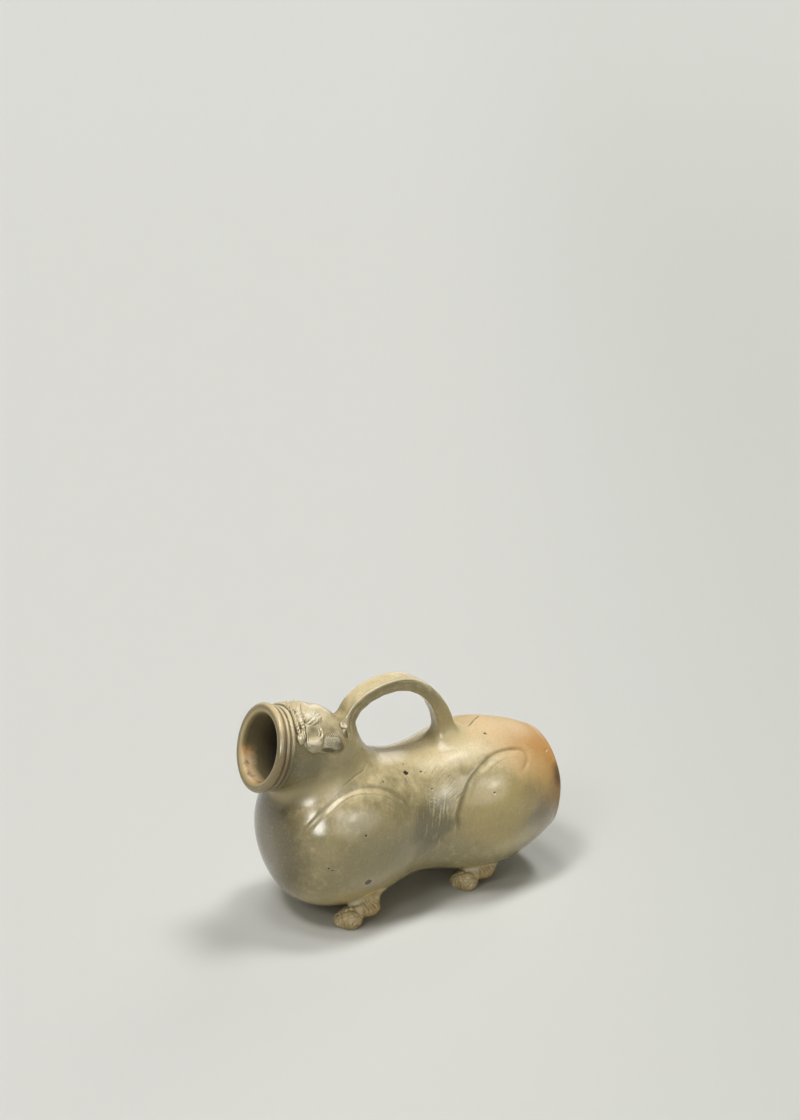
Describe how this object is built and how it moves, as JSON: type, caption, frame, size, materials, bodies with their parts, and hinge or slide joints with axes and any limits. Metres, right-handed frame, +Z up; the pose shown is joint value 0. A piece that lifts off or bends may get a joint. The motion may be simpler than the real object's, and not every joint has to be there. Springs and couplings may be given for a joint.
{
  "type": "tiger-shaped jug",
  "caption": "Hollow stoneware jug in the shape of a crouching tiger: round mouth in a raised neck with a modelled face, arched strap handle, waisted belly, short legs with paws.",
  "frame": {"origin": "on the surface that the jug stands on, at the middle of its box", "axes": "+Z up, +Y towards the tail disc so that the jug looks along -Y, +X towards its left flank"},
  "size_m": [0.116, 0.2394, 0.172],
  "materials": {
    "celadon_glaze": "satin olive-grey celadon, mottled and crazed",
    "scorched_glaze": "celadon fading to scorched tan and orange at the tail",
    "relief_glaze": "pale glossy celadon, pooled dark in the hollows",
    "paw_clay": "thin tan glaze over bare clay"
  },
  "bodies": {
    "root": {"fore_body": "celadon_glaze", "hind_body": "scorched_glaze", "mouth_collar": "celadon_glaze", "crown_pad": "relief_glaze", "nose": "relief_glaze", "lip_left": "relief_glaze", "lip_right": "relief_glaze", "brow_left": "relief_glaze", "brow_right": "relief_glaze", "eyeball_left": "relief_glaze", "eyeball_right": "relief_glaze", "eyelid_left": "relief_glaze", "eyelid_right": "relief_glaze", "ear_left": "relief_glaze", "ear_right": "relief_glaze", "rivet_pellet_left": "relief_glaze", "rivet_pellet_right": "relief_glaze", "handle": "celadon_glaze", "foreleg_left": "paw_clay", "foreleg_right": "paw_clay", "hindleg_left": "paw_clay", "hindleg_right": "paw_clay"}
  },
  "joints": []
}
